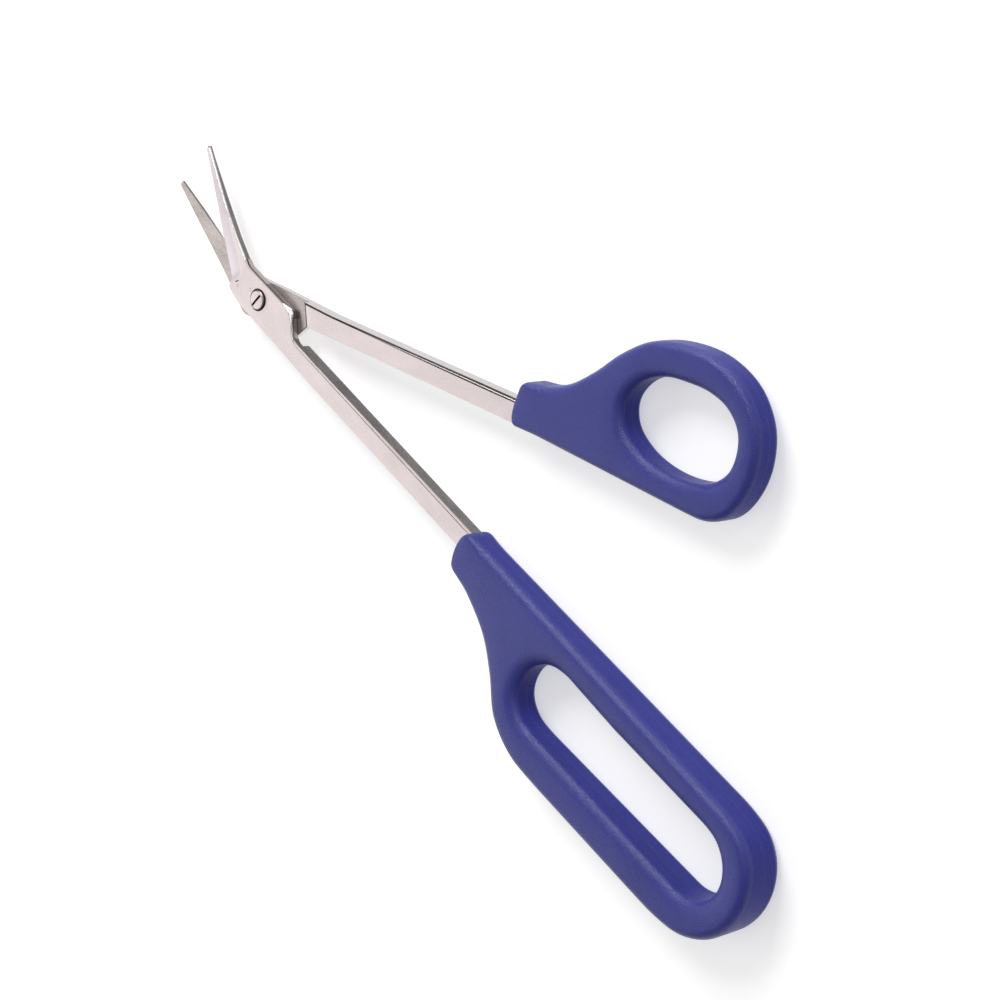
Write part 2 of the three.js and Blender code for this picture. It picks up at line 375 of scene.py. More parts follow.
def bump(nodes, links, shader, heights):
    """Chains bumps of (height, strength, distance in metres) onto a shader."""
    normal = None
    for height, strength, depth in heights:
        node = nodes.new("ShaderNodeBump")
        node.inputs["Strength"].default_value = strength
        node.inputs["Distance"].default_value = depth
        links.new(height, node.inputs["Height"])
        if normal is not None:
            links.new(normal, node.inputs["Normal"])
        normal = node.outputs["Normal"]
    links.new(normal, shader.inputs["Normal"])


PATCH_SHARE = 0.35
SPECKLE_SHARE = 0.35
ALONG = (1.0, 9.0, 9.0)  # fine streaks along the arm

# The steels in the order of the material indices: name, dark colour, light colour, roughness, grain and
# bump depth in metres. Face and ground are the steel's own tones; the other six are darker and lighter copies
# of it that paint shade, reflections and highlights onto the arms and the screw.
STEEL_FINISHES_AND_PAINTED_LIGHT = [
    ("face", (0.53, 0.463, 0.463), (0.67, 0.588, 0.588), (0.27, 0.40), ALONG, 2e-6),
    # side: near-black steel for walls and edges, a painted dark reflection.
    ("side", (0.10, 0.092, 0.095), (0.25, 0.235, 0.235), (0.40, 0.55), (3.5, 3.5, 5.0), 5e-6),
    # bright: near-white steel, a painted highlight on bevels and on strips of wall.
    ("bright", (0.80, 0.78, 0.76), (0.90, 0.885, 0.87), (0.22, 0.32), ALONG, 2e-6),
    # line: near-black steel, painted shade for the dark lines along the bevels and inside grooves, the slot
    # and the counterbore.
    ("line", (0.02, 0.016, 0.016), (0.07, 0.06, 0.055), (0.35, 0.5), ALONG, 2e-6),
    # inner: darker brown steel; painted shade on the half laps' cut faces between the parts, and painted
    # light where it lightens strips of the dark side walls.
    ("inner", (0.28, 0.245, 0.23), (0.52, 0.465, 0.45), (0.25, 0.40), (0.8, 5.0, 5.0), 2e-6),
    ("ground", (0.562, 0.503, 0.532), (0.66, 0.596, 0.626), (0.24, 0.36), (6.0, 1.2, 6.0), 2e-6),
    # outer: pale grey steel on the rear arm's walls, a painted reflection of bright surroundings.
    ("outer", (0.47, 0.445, 0.455), (0.585, 0.555, 0.565), (0.30, 0.42), (1.0, 9.0, 6.0), 2e-6),
    # bevel: satin and darker than the face steel; the darker tone is painted shade that dims the bevels'
    # reflection.
    ("bevel", (0.34, 0.30, 0.29), (0.46, 0.41, 0.40), (0.56, 0.66), (2.0, 9.0, 9.0), 2e-6),
]


def steel(name, dark, light, roughness, grain, depth, angle):
    """Ground steel: streaks along the arm, soft patches and fine grain."""
    material, nodes, links, shader = new_material(name)
    streak = noise(nodes, links, coordinates(nodes, links, angle, grain), 1.6, 4.0, 0.65)
    patch = noise(nodes, links, coordinates(nodes, links, angle, (0.12, 0.25, 0.25)), 1.0, 2.0)
    fine = noise(nodes, links, coordinates(nodes, links, angle, (2.2, 2.8, 2.8)), 1.2, 2.0, 0.6)
    mixed = streak
    for other, weight in ((patch, PATCH_SHARE), (fine, SPECKLE_SHARE)):
        blend = nodes.new("ShaderNodeMix")
        blend.data_type = "FLOAT"
        blend.inputs[0].default_value = weight
        links.new(mixed, blend.inputs[2])
        links.new(other, blend.inputs[3])
        mixed = blend.outputs[0]
    links.new(ramp(nodes, links, mixed, [(0.38, dark), (0.62, light)]), shader.inputs["Base Color"])
    links.new(to_range(nodes, links, streak, *roughness), shader.inputs["Roughness"])
    shader.inputs["Metallic"].default_value = 1.0
    bump(nodes, links, shader, [(streak, 0.5, depth), (fine, 0.5, depth)])
    return material


def steel_set(arm, angle):
    """The eight steels of one arm: its own tones and the painted shade, reflections and highlights."""
    return [steel(f"steel_{name}_{arm}", *finish, angle) for name, *finish in STEEL_FINISHES_AND_PAINTED_LIGHT]


WALL_SHINE = 0.10
FACE_SHINE = 0.55


def plastic(name):
    """Satin indigo plastic from a spark-eroded mould: a fine even texture with faint flow marks."""
    material, nodes, links, shader = new_material(name)
    plain = coordinates(nodes, links, 0.0, (1.0, 1.0, 1.0))
    fine = noise(nodes, links, plain, 4.2, 2.0, 0.6)
    soft = noise(nodes, links, plain, 0.09, 2.0)
    colour = ramp(nodes, links, soft, [(0.3, (0.021, 0.025, 0.20)), (0.7, (0.027, 0.031, 0.228))])
    links.new(colour, shader.inputs["Base Color"])
    links.new(to_range(nodes, links, fine, 0.24, 0.38), shader.inputs["Roughness"])
    shader.inputs["IOR"].default_value = 1.45
    # Painted shade: the walls reflect less than the faces, picked by how upright the surface is, so they stay
    # darker.
    geometry = nodes.new("ShaderNodeNewGeometry")
    axes = nodes.new("ShaderNodeSeparateXYZ")
    links.new(geometry.outputs["Normal"], axes.inputs[0])
    upright = nodes.new("ShaderNodeMath")
    upright.operation = "ABSOLUTE"
    links.new(axes.outputs["Z"], upright.inputs[0])
    shine = to_range(nodes, links, upright.outputs[0], WALL_SHINE, FACE_SHINE, full=0.45, smooth=True)
    links.new(shine, shader.inputs["Specular IOR Level"])
    bump(nodes, links, shader, [(fine, 1.0, 1.2e-4)])
    return material


# ---------------------------------------------------------------- steel arms

LAP = 1.75  # half of the steel's thickness
INNER_FACE = 0.05  # from the sliding plane to each blade's inner face
EDGE_THICKNESS = 0.25
CUTTER_HEIGHT = 6.0
ARC_STEP = 4.0  # degrees
LONGEST_EDGE = 1.0


def bell(points, centre, reach):
    """1 at the centre, falling smoothly to 0 at reach."""
    d = np.linalg.norm(points - np.array(centre), axis=1) / reach
    return np.where(d < 1, (1 - np.minimum(d, 1) ** 2) ** 2, 0.0)


def fade(values, start, end):
    """0 at start, 1 at end, smooth in between."""
    t = np.clip((values - start) / (end - start), 0, 1)
    return t * t * (3 - 2 * t)


class Grind:
    """The outer face that the wheel leaves on a blade: thin at the cutting edge, slightly hollow, and rising
    out of the steel at the heel. outward is the sign of Z on that face."""

    def __init__(self, tip, heel, outward, slopes, runout):
        self.tip, self.heel = np.array(tip, float), np.array(heel, float)
        self.length = np.linalg.norm(self.tip - self.heel)
        self.along = (self.tip - self.heel) / self.length
        self.across = np.array([self.along[1], -self.along[0]]) * outward
        self.outward, self.slopes, self.runout = outward, slopes, runout

    def height(self, points):
        u = (points - self.heel) @ self.along
        v = (points - self.heel) @ self.across
        slope = self.slopes[0] + (self.slopes[1] - self.slopes[0]) * np.clip(u / self.length, 0, 1)
        hollow = 0.012 * np.maximum(0, v) * np.maximum(0, 5 - v)
        rise = (LAP - EDGE_THICKNESS + 0.1) * (1 - np.clip(u / self.runout, 0, 1)) ** 2
        return EDGE_THICKNESS + slope * v - hollow + rise

    def cutter(self):
        heel, blade = np.linspace(-0.2, self.runout, 13), np.linspace(self.runout, self.length + 3, 24)
        us = np.concatenate([heel[:-1], blade])
        vs = np.concatenate([[-2.5, -1.0, -0.1], np.linspace(0.2, 9.0, 21)])
        plan = np.array([self.heel + self.along * u + self.across * v for u in us for v in vs])
        low = [(x, y, self.outward * z) for (x, y), z in zip(plan, self.height(plan))]
        high = [(x, y, self.outward * CUTTER_HEIGHT) for x, y in plan]
        rows, columns, top = len(us), len(vs), len(plan)
        faces, kinds = [], []
        for layer in (0, 1):
            for r in range(rows - 1):
                for c in range(columns - 1):
                    a = layer * top + r * columns + c
                    quad = [a, a + 1, a + columns + 1, a + columns]
                    faces.append(quad if layer == 0 else quad[::-1])
                    # A thin strip along the cutting edge, past the first part of the blade, takes the darker
                    # inner steel.
                    kinds.append(INNER if vs[c + 1] < 0.3 and us[r] > 0.3 * self.length else GROUND)
        rim = list(range(columns))
        rim += [r * columns + columns - 1 for r in range(1, rows)]
        rim += [(rows - 1) * columns + c for c in range(columns - 2, -1, -1)]
        rim += [r * columns for r in range(rows - 2, 0, -1)]
        for i, a in enumerate(rim):
            b = rim[(i + 1) % len(rim)]
            faces.append([a, a + top, b + top, b])
            kinds.append(GROUND)
        cutter = make_object("cutter", mesh_from("cutter", low + high, faces, kinds))
        work = bmesh.new()
        work.from_mesh(cutter.data)
        bmesh.ops.recalc_face_normals(work, faces=work.faces)
        work.to_mesh(cutter.data)
        work.free()
        return cutter


class Edge:
    """The bevel round an arm's outline as functions of the outline's points: how far it runs in on the face
    and down the side, where its painted dark lines (painted shade) start and end as shares of the run, and
    the height of the face."""

    def __init__(self, run, rise, low_line, high_line, grind):
        self.run, self.rise, self.low_line, self.high_line, self.grind = run, rise, low_line, high_line, grind

    def top(self, outline):
        inner = outline + inward_normals(outline) * (self.run(outline) + 0.02)[:, None]
        ground = self.grind.height(inner) + 0.02
        behind_heel = (inner - self.grind.heel) @ self.grind.along < 0
        thinnest = 0.3
        return np.where(behind_heel, LAP, np.clip(ground, thinnest, LAP))

    def at(self, share):
        """Inset and height at a share of the way up the bevel."""
        if not callable(share):
            share = lambda points, fixed=share: np.full(len(points), fixed)

        def inset(points):
            return share(points) * self.run(points)

        def height(points):
            t = share(points)
            swell = t + 0.5 * t * (1 - t)
            return self.top(points) - self.rise(points) * (1 - swell)

        return inset, height

    def profile(self, low, middle, high, shaded, bevel, shade):
        """From the underside of the plate up. low, middle, high and shaded give the material index of the
        side wall's strips and bevel that of the bevel; shade is the height of the topmost strip."""
        share = lambda p: (self.low_line(p) + self.high_line(p)) / 2
        foot, foot_height = self.at(0.0)
        return [
            # The underside's chamfer and the wall's lowest strip take the bright steel, a painted highlight.
            (lambda p: 0.16 + 0 * p[:, 0], -LAP, BRIGHT),
            (0.05, -LAP + 0.06, BRIGHT),
            (0.0, -LAP + 0.2, low),
            (0.0, lambda p: np.minimum(-0.45, foot_height(p) - shade - 0.2), middle),
            (0.0, lambda p: np.minimum(0.30, foot_height(p) - shade - 0.1), high),
            (0.0, lambda p: foot_height(p) - shade, shaded),
            (foot, foot_height, LINE),
            (*self.at(self.low_line), bevel),
            (*self.at(share), bevel),
            (*self.at(self.high_line), LINE),
            (*self.at(1.0), FACE),
            (lambda p: self.run(p) + 0.015, LAP, FACE),
        ]


# The front arm, from above: cutting edge, heel, ricasso, shank, shoulder, ricasso's corner and spine.
FRONT_CORNERS = [
    (-33.0, 16.05, 0.3),
    (-28.1, 12.0, 40),
    (-19, 4.6, 60),
    (-9.3, -3.4, 6),
    (-5.4, -4.5, 9),
    (12, -4.85, 60),
    (24, -5.2, 60),
    (84, -5.2, 0),
    (84, -0.8, 0),
    (13.3, -0.8, 3.4),
    (9.5, 4.15, 1.5),
    (-6.7, 4.1, 3.0),
    (-13.3, 7.2, 40),
    (-21.2, 11.5, 60),
    (-31.95, 17.6, 0.5),
    (-32.85, 17.1, 0.3),
]

REAR_CORNERS = [
    (-32.75, 16.15, 0.5),
    (-26.2, 11.1, 60),
    (-19.1, 5.9, 60),
    (-13.75, 1.85, 40),
    (-5.8, -4.9, 2.4),
    (11.1, -4.9, 1.3),
    (14.6, -0.9, 1.6),
    (78.6, -0.9, 0),
    (78.6, 0.4, 0),
    (84, 0.4, 0),
    (84, 3.95, 0),
    (66, 3.8, 60),
    (44, 3.6, 60),
    (22, 3.5, 60),
    (4, 4.1, 40),
    (-6.7, 4.1, 3.0),
    (-13.3, 7.3, 40),
    (-23.5, 13.05, 60),
    (-32.2, 17.45, 0.6),
]


RICASSO_CORNER = (9.3, 4.1)


def front_top_edge(points):
    """Whether the points are on the ricasso's top edge."""
    x, y = points.T
    return (x > -7.4) & (x < 8.3) & (y > 2)


def front_high(points):
    """The side wall's middle part: painted light on the ricasso's top edge and at the root of the shank,
    where it takes the lighter inner steel; the dark side steel elsewhere.
    """
    x, y = points.T
    root = (x > 11.0) & (x < 13.4) & (y > -0.8)
    return np.where((front_top_edge(points) & (x < 0.5)) | root, INNER, SIDE)


def front_spine(points):
    """Whether the points are on the blade's spine rather than its cutting edge."""
    x, y = points.T
    return y > 0.6 - 0.72 * (x + 13)


def front_middle(points):
    """The side wall near the inner face: a painted highlight along the blade's spine."""
    return np.where((points[:, 0] < -8) & front_spine(points), BRIGHT, front_high(points))


# Painted shade: the wall's topmost strip is near black along the ricasso's top edge and takes the dark side
# steel elsewhere.
def front_shaded(points):
    return np.where(front_top_edge(points), LINE, SIDE)


# Satin bevels darkened as painted shade along the shank and the ricasso's top edge, dark side steel at the
# tip, and a painted highlight everywhere else.
def front_bevel(points):
    x, y = points.T
    satin_and_shaded = (x > 13.5) | ((x > -7.8) & (x < 7.0) & (y > 2))
    tip = x < -31.6
    return np.where(satin_and_shaded, BEVEL, np.where(tip, SIDE, BRIGHT))


def front_run(points):
    """The front bevel's width on the face: wide along the shank's inner side and at the ricasso's corner."""
    x, y = points.T
    shank = (0.26 + 0.14 * fade(x, 12.5, 15) + 0.06 * fade(x, 22, 50)) * fade(x, 9.0, 10.5) * (y > -2.5)
    spine = 0.28 * (1 - fade(x, -8.0, -5.0)) * front_spine(points)
    top = (0.24 + 0.06 * fade(x, -2, 8)) * fade(x, -8.0, -5.0) * (1 - fade(x, 9.0, 10.5)) * (y > 2)
    return np.maximum(shank + spine + top + 0.42 * bell(points, RICASSO_CORNER, 2.8), 0.09)


def front_rise(points):
    x = points[:, 0]
    shank = (0.30 - 0.18 * fade(x, 15, 22) + 0.26 * fade(x, 24, 50)) * fade(x, 9.0, 10.5)
    return 0.14 + shank + 0.20 * (1 - fade(x, -8.0, -5.0)) + 0.5 * bell(points, RICASSO_CORNER, 2.8)


def front_low_line(points):
    """The painted dark line (painted shade) below the bevel, only along the ricasso's top edge."""
    x, y = points.T
    return 0.3 * fade(x, -9, -5.5) * (1 - fade(x, 6.5, 8.5)) * (y > 2)


def front_high_line(points):
    """The fine painted dark line (painted shade) between bevel and face."""
    return 0.86 - 0.14 * fade(points[:, 0], 22, 46)


def rear_outer(points):
    """Whether the points are on the outer side of the rear shank."""
    x, y = points.T
    return (x > 10) & (y > 1.5)


def rear_lap_edge(points):
    """Whether the points are on the half lap's lower edge."""
    x, y = points.T
    return (y < 1) & (x < 16)


def rear_low(points):
    """The side wall's lower part: a painted highlight at the lap's corner, a painted dark reflection behind
    it, and a pale painted reflection elsewhere.
    """
    return np.where(rear_lap_edge(points), np.where(points[:, 0] > 4, BRIGHT, SIDE), LIGHT_SIDE)


def rear_middle(points):
    """The side wall next to the inner face: painted shade round the lap's lower edge, a pale painted
    reflection elsewhere.
    """
    return np.where(rear_lap_edge(points), LINE, LIGHT_SIDE)


# Painted shade: the wall's topmost strip is near black on the shank's outer side; elsewhere it takes the pale
# outer steel, a painted reflection.
def rear_shaded(points):
    return np.where(rear_outer(points), LINE, LIGHT_SIDE)


# Satin bevels darkened as painted shade on the shank's outer side up to x = 40; a painted highlight
# everywhere else.
def rear_bevel(points):
    return np.where(rear_outer(points) & (points[:, 0] < 40), BEVEL, BRIGHT)


def rear_run(points):
    """The rear bevel grows wider along the shank's outer side, towards its grip."""
    return np.where(rear_outer(points), 0.32 + 0.40 * fade(points[:, 0], 20, 70), 0.14)


def rear_rise(points):
    return np.where(rear_outer(points), 0.20 + 0.32 * fade(points[:, 0], 20, 70), 0.2)


def rear_low_line(points):
    return np.where(rear_outer(points), 0.90 - 0.46 * fade(points[:, 0], 26, 50), 0.0)


def rear_high_line(points):
    return np.where(rear_outer(points), 0.94 - 0.30 * fade(points[:, 0], 26, 56), 0.9)


def steel_arm(name, corners, grind, edge, strip_shading, lap_cut, bore_radius):
    outline = split_long(counter_clockwise(rounded(corners, ARC_STEP)), LONGEST_EDGE)
    arm = plate(name, outline, edge.profile(*strip_shading))
    cut(arm, lap_cut)
    cut(arm, grind.cutter())
    cut(arm, revolve("cutter", [(0, -3), (bore_radius, -3), (bore_radius, 3), (0, 3)], 64, INNER))
    return arm


front_grind = Grind([-33.0, 16.05], [-9.4, -3.3], 1, (0.283, 0.44), 3.0)
# The half laps' outlines; the shanks have their full thickness beyond them. The cut faces take the darker
# inner steel, painted shade between the parts.
FRONT_LAP = [(-60, -30), (13.6, -30), (14.2, -1.7), (14.9, -1.15), (15.5, -0.75), (16.1, 30), (-60, 30)]
REAR_LAP = [(-60, -30), (15.9, -30), (15.9, -1.5), (15.5, -0.6), (13.8, 3.8), (13.5, 30), (-60, 30)]
front_edge = Edge(front_run, front_rise, front_low_line, front_high_line, front_grind)
front_blade = steel_arm(
    "front_blade_steel",
    FRONT_CORNERS,
    front_grind,
    front_edge,
    (SIDE, front_middle, front_high, front_shaded, front_bevel, 0.32),
    prism(FRONT_LAP, -5, INNER_FACE, INNER),
    1.55,
)
# The counterbore round the screw's head is painted near black, a painted shadow ring round the head, set
# slightly off its centre.
COUNTERBORE_RADIUS = 2.45
COUNTERBORE_DEPTH = 0.1
ring = [(0, LAP - COUNTERBORE_DEPTH), (COUNTERBORE_RADIUS, LAP - COUNTERBORE_DEPTH)]
ring += [(COUNTERBORE_RADIUS, LAP + 1), (0, LAP + 1)]
cut(front_blade, revolve("cutter", ring, 64, LINE, (-0.12, -0.08)))
# The tick and the small scratches where the wheel was lifted off: centre, angle, length and width. They are
# real shallow cuts painted near black inside, painted shade.
SCRATCH_DEPTH = 0.05
for (x, y), angle, length, width in [
    ((-7.8, -0.72), 53, 1.05, 0.24),
    ((-7.25, -1.35), 25, 0.55, 0.10),
    ((-6.95, -1.55), 66, 0.45, 0.09),
    ((-3.45, 0.52), 10, 0.30, 0.12),
    ((-3.0, 0.25), 60, 0.22, 0.10),
]:
    scratch = block(-length / 2, length / 2, -width / 2, width / 2, LAP - SCRATCH_DEPTH, LAP + 1, LINE)
    scratch.data.transform(Matrix.Translation((x, y, 0)) @ Matrix.Rotation(math.radians(angle), 4, "Z"))
    cut(front_blade, scratch)
place(front_blade, FRONT, "front_arm", "front_blade", steel_set("front", 0.0), STEEL_SHARP_ANGLE)

rear_grind = Grind([-32.4, 17.7], [-7.6, 4.6], -1, (0.283, 0.44), 2.2)
# The rear blade is ground underneath, so the face that its edge runs up to has no grind.
no_grind = Grind([-60, 60], [-59, 60], 1, (0.0, 0.0), 1.0)
rear_edge = Edge(rear_run, rear_rise, rear_low_line, rear_high_line, no_grind)
rear_blade = steel_arm(
    "rear_blade_steel",
    REAR_CORNERS,
    rear_grind,
    rear_edge,
    (rear_low, rear_middle, LIGHT_SIDE, rear_shaded, rear_bevel, 0.14),
    prism(REAR_LAP, -INNER_FACE, 5, INNER),
    1.53,
)
# The step's upper edge is broken, and the break is painted near black, painted shade.
broken = prism([(-0.2, -0.33), (0.8, 0.11), (0.8, 0.5), (-0.2, 0.5)], -9, 9, LINE)
broken.data.transform(
    Matrix.Translation((14.7, 1.5, LAP))
    @ Matrix.Rotation(math.atan2(1.7, 4.4), 4, "Z")
    @ Matrix.Rotation(math.radians(90), 4, "X")
)
cut(rear_blade, broken)
# The honed edge along the inner face leans down towards the cutting edge; it takes the dark side steel, a
# painted dark reflection.
HONE_WIDTH = 0.42
HONE_SLOPE = 0.12
hone_from, hone_to = np.array([-32.6, 17.75]), np.array([-16.5, 9.0])
hone_along = hone_to - hone_from
hone_length = float(np.linalg.norm(hone_along))
hone = block(-3, hone_length, 0, 2.5, 0, 2, SIDE)
for vertex in hone.data.vertices:
    if vertex.co.y == 0:
        vertex.co.y = -HONE_WIDTH if vertex.co.x < 0 else 0.0
    vertex.co.z -= max(0.0, vertex.co.y + HONE_WIDTH) * HONE_SLOPE * (vertex.co.z == 0)
hone.data.transform(
    Matrix.Translation((hone_from[0], hone_from[1], -INNER_FACE - 0.003))
    @ Matrix.Rotation(math.atan2(hone_along[1], hone_along[0]), 4, "Z")
)
cut(rear_blade, hone)
place(rear_blade, REAR, "rear_arm", "rear_blade", steel_set("rear", OPEN_ANGLE), STEEL_SHARP_ANGLE)

# ---------------------------------------------------------------- pivot screw

HEAD_RADIUS = 2.1
HEAD_SEAT = 1.8
HEAD_TOP = 2.35
SLOT_ANGLE = math.radians(55)

SHANK_RADIUS = 1.5
HEAD_ROUNDING = 0.35
HEAD_TURNS = 6

screw_profile = [(0, -LAP), (1.25, -LAP), (1.42, -LAP + 0.06), (SHANK_RADIUS, -LAP + 0.2)]
screw_profile += [(SHANK_RADIUS, HEAD_SEAT), (HEAD_RADIUS - 0.05, HEAD_SEAT), (HEAD_RADIUS, HEAD_SEAT + 0.05)]
for k in range(HEAD_TURNS + 1):
    w = math.radians(90 * k / HEAD_TURNS)
    radius = HEAD_RADIUS - HEAD_ROUNDING + HEAD_ROUNDING * math.cos(w)
    screw_profile.append((radius, HEAD_TOP - 0.36 + 0.3 * math.sin(w)))
screw_profile += [(1.1, HEAD_TOP - 0.03), (0.5, HEAD_TOP - 0.006), (0, HEAD_TOP)]
pivot_screw = revolve("pivot_screw_steel", screw_profile, 96, FACE)
# The head's rounded rim and the shank's wall take the dark side steel, a painted dark reflection that draws
# the crescent round the head.
for polygon in pivot_screw.data.polygons:
    if abs(polygon.normal.z) < 0.75:
        polygon.material_index = SIDE
SLOT_HALF_WIDTH = 0.27
SLOT_DEPTH = 0.42
# The slot is painted near black inside, painted shade.
slot_cutter = block(-1.85, 1.55, -SLOT_HALF_WIDTH, SLOT_HALF_WIDTH, HEAD_TOP - SLOT_DEPTH, HEAD_TOP + 1, LINE)
slot_cutter.data.transform(Matrix.Rotation(SLOT_ANGLE, 4, "Z"))
cut(pivot_screw, slot_cutter)
place(pivot_screw, REAR, "rear_arm", "pivot_screw", steel_set("screw", 0.3), STEEL_SHARP_ANGLE)

# ---------------------------------------------------------------- grips

STEP = 0.45  # between the outline's points
RING_TURNS = 13  # steps of an edge's rounding
ROUNDING_END = 85  # degrees
PARTING_LINE = [(-0.016, 0), (-0.011, 0.04), (0, 0.07), (0, 0.13)]  # inset and height of its rings
RELAX_TIMES = 40
FACE_MARGIN = 0.45  # between a rim and the face's own points
CROWN_REACH = 3.5


def path(start, *parts):
    """A closed outline from parts that each follow on: one point is a line, two points a curve with a
    control point, more points a smooth curve through them all, in line with what comes before and after."""
    out = [np.array(start, float)]
    for number, part in enumerate(parts):
        a = out[-1]
        points = [np.array(p, float) for p in part]
        if len(points) == 1:
            out += [a + (points[0] - a) * t for t in np.linspace(0, 1, 9)[1:]]
        elif len(points) == 2:
            b, c = points
            out += [a * (1 - t) ** 2 + b * 2 * t * (1 - t) + c * t * t for t in np.linspace(0, 1, 13)[1:]]
        else:
            before = np.array(parts[number - 1][-2], float) if len(out) == 1 else out[-2]
            after = np.array(parts[(number + 1) % len(parts)][0], float)
            reach = np.linalg.norm(points[0] - a), np.linalg.norm(points[-1] - points[-2])
            first = a + (before - a) * reach[0] / np.linalg.norm(before - a)
            last = points[-1] + (after - points[-1]) * reach[1] / np.linalg.norm(after - points[-1])
            through = [first, a, *points, last]
            for k in range(len(points)):
                out += spline_piece(*through[k : k + 4], 12)
    if np.linalg.norm(out[-1] - out[0]) < 0.01:
        out.pop()
    return np.array(out)


FINGER_OUTER = path(
    (78.6, -0.05),
    [(76.4, -0.2), (75.85, -2.2)],
    [(75.3, -5.0), (76.5, -7.9)],
    [(76.9, -9.1), (78.6, -9.6)],
    [(84.4, -11.5), (91.5, -14.9), (97.1, -19.8), (103, -26.2), (110.5, -29.5), (120, -29.9)],
    [(149, -28.8)],
    [(156.5, -28.3), (162.4, -26.9), (167.0, -23.7), (169.9, -19.2), (171, -13.8), (170.2, -8.6)]
    + [(167.6, -4.0), (163.4, -0.9), (158.0, 0.25), (151, 0.37)],
    [(78.6, -0.05)],
)
FINGER_HOLE = path(
    (113.5, -6.3),
    [(128, -6.4)],
    [(154.5, -5.45)],
    [(158.5, -6.0), (161.8, -8.2), (163.7, -11.4), (163.9, -15.0), (162.0, -18.2), (158.8, -20.0)]
    + [(154.5, -20.4)],
    [(114, -21.8)],
    [(109.2, -21.3), (105.8, -19.0), (104.5, -15.4), (105.1, -11.4), (108.6, -7.6), (113.5, -6.3)],
)
THUMB_OUTER = path(
    (79.0, -0.87),
    [(122.5, -2.35)],
    [(128.0, -2.1), (132.4, 0.1), (135.5, 4.8), (136.8, 11.2), (135.3, 18.4), (130.2, 24.4), (122.6, 27.5)]
    + [(114.2, 27.6), (106.7, 25.6), (100.6, 21.4), (95, 15.8), (89.6, 11.5), (84, 9.2)],
    [(80.3, 8.6)],
    [(78.6, 8.5), (78.2, 6.8)],
    [(77.65, 3.4)],
    [(77.2, -0.6), (79.0, -0.87)],
)
THUMB_HOLE = path(
    (131.2, 12.2),
    [(130.3, 16.2), (127.2, 19.3), (122.8, 20.8), (117.6, 21.0), (111.4, 20.2), (106.4, 17.4), (103.9, 12.8)]
    + [(105.0, 8.6), (109.2, 5.4), (115.0, 3.7), (121.6, 3.6), (127.0, 5.1), (130.3, 8.2), (131.2, 12.2)],
)


def grip(name, outer, hole, half, outer_edge, hole_edge, crown):
    """A moulded loop. Rings of quads go up both walls from the parting line and round the rims; a
    triangulated, slightly crowned face fills the rest, above and below. Edges come from rounded_edge."""
    flat, height, rows = [], [], []
    for points, edge, flip in ((outer, outer_edge, 1), (hole, hole_edge, -1)):
        outline = resample(points, STEP)
        share = fade(outline[:, :1], 80.5, 90) if flip == 1 else 1.0  # the collar keeps its corners
        outline = counter_clockwise(relax(outline, RELAX_TIMES, share))
        normals = inward_normals(outline) * flip
        tall = half(outline[:, 0])
        reach, drop = edge
        reach, drop = reach(outline), drop(outline)
        rings = [(inset + 0 * reach, z + 0 * tall) for inset, z in PARTING_LINE]
        rings += [(0 * reach, (tall - drop) * 0.4), (0 * reach, (tall - drop) * 0.95)]
        for k in range(RING_TURNS + 1):
            w = math.radians(ROUNDING_END) * k / RING_TURNS
            rings.append((reach * (1 - math.cos(w)), tall - drop * (1 - math.sin(w))))
        rows.append([])
        for inset, z in rings:
            rows[-1].append(range(len(flat), len(flat) + len(outline)))
            flat.extend(outline + normals * inset[:, None])
            height.extend(z)
    rims = [np.array([flat[i] for i in row[-1]]) for row in rows]
    low, high = rims[0].min(0), rims[0].max(0)
    gx, gy = np.meshgrid(np.arange(low[0], high[0], 1.1), np.arange(low[1], high[1], 0.95))
    gx[1::2] += 0.55
    seeds = np.stack([gx.ravel(), gy.ravel()], 1)
    seeds = seeds[inside(seeds, rims[0]) & ~inside(seeds, rims[1])]
    gap = np.minimum(distance(seeds, rims[0]), distance(seeds, rims[1]))
    seeds, gap = seeds[gap > FACE_MARGIN], gap[gap > FACE_MARGIN]
    lift = crown * (1 - (1 - np.clip(gap / CROWN_REACH, 0, 1)) ** 2)
    ids = list(rows[0][-1]) + list(rows[1][-1]) + list(range(len(flat), len(flat) + len(seeds)))
    flat.extend(seeds)
    height.extend(half(seeds[:, 0]) + lift)
    points = [Vector(flat[i]) for i in ids]
    edges, start = [], 0
    for rim in rims:
        edges += [(start + i, start + (i + 1) % len(rim)) for i in range(len(rim))]
        start += len(rim)
    triangles = np.array(delaunay_2d_cdt(points, edges, [], 0, 1e-6)[2])
    flat = np.array([tuple(v)[:2] for v in flat])
    triangles = np.array(ids)[triangles]
    centres = flat[triangles].mean(1)
    triangles = triangles[inside(centres, rims[0]) & ~inside(centres, rims[1])]
    size = len(flat)
    vertices = [(x, y, z) for (x, y), z in zip(flat, height)]
    vertices += [(x, y, -z) for x, y, z in vertices]
    seam = set(rows[0][0]) | set(rows[1][0])
    below = [i if i in seam else i + size for i in range(size)]
    faces = []
    for which, row in enumerate(rows):
        for k in range(len(row) - 1):
            n = len(row[k])
            for i in range(n):
                j = (i + 1) % n
                quad = [row[k][i], row[k][j], row[k + 1][j], row[k + 1][i]]
                quad = quad[::-1] if which == 1 else quad
                faces.append(quad)
                faces.append([below[q] for q in quad[::-1]])
    for t in triangles.tolist():
        a, b, c = flat[t]
        if (b[0] - a[0]) * (c[1] - a[1]) - (b[1] - a[1]) * (c[0] - a[0]) < 0:
            t = t[::-1]
        faces.append(t)
        faces.append([below[q] for q in t[::-1]])
    mesh = mesh_from(name, vertices, faces)
    work = bmesh.new()
    work.from_mesh(mesh)
    bmesh.ops.delete(work, geom=[v for v in work.verts if not v.link_faces], context="VERTS")
    work.to_mesh(mesh)
    work.free()
    return make_object(name, mesh)


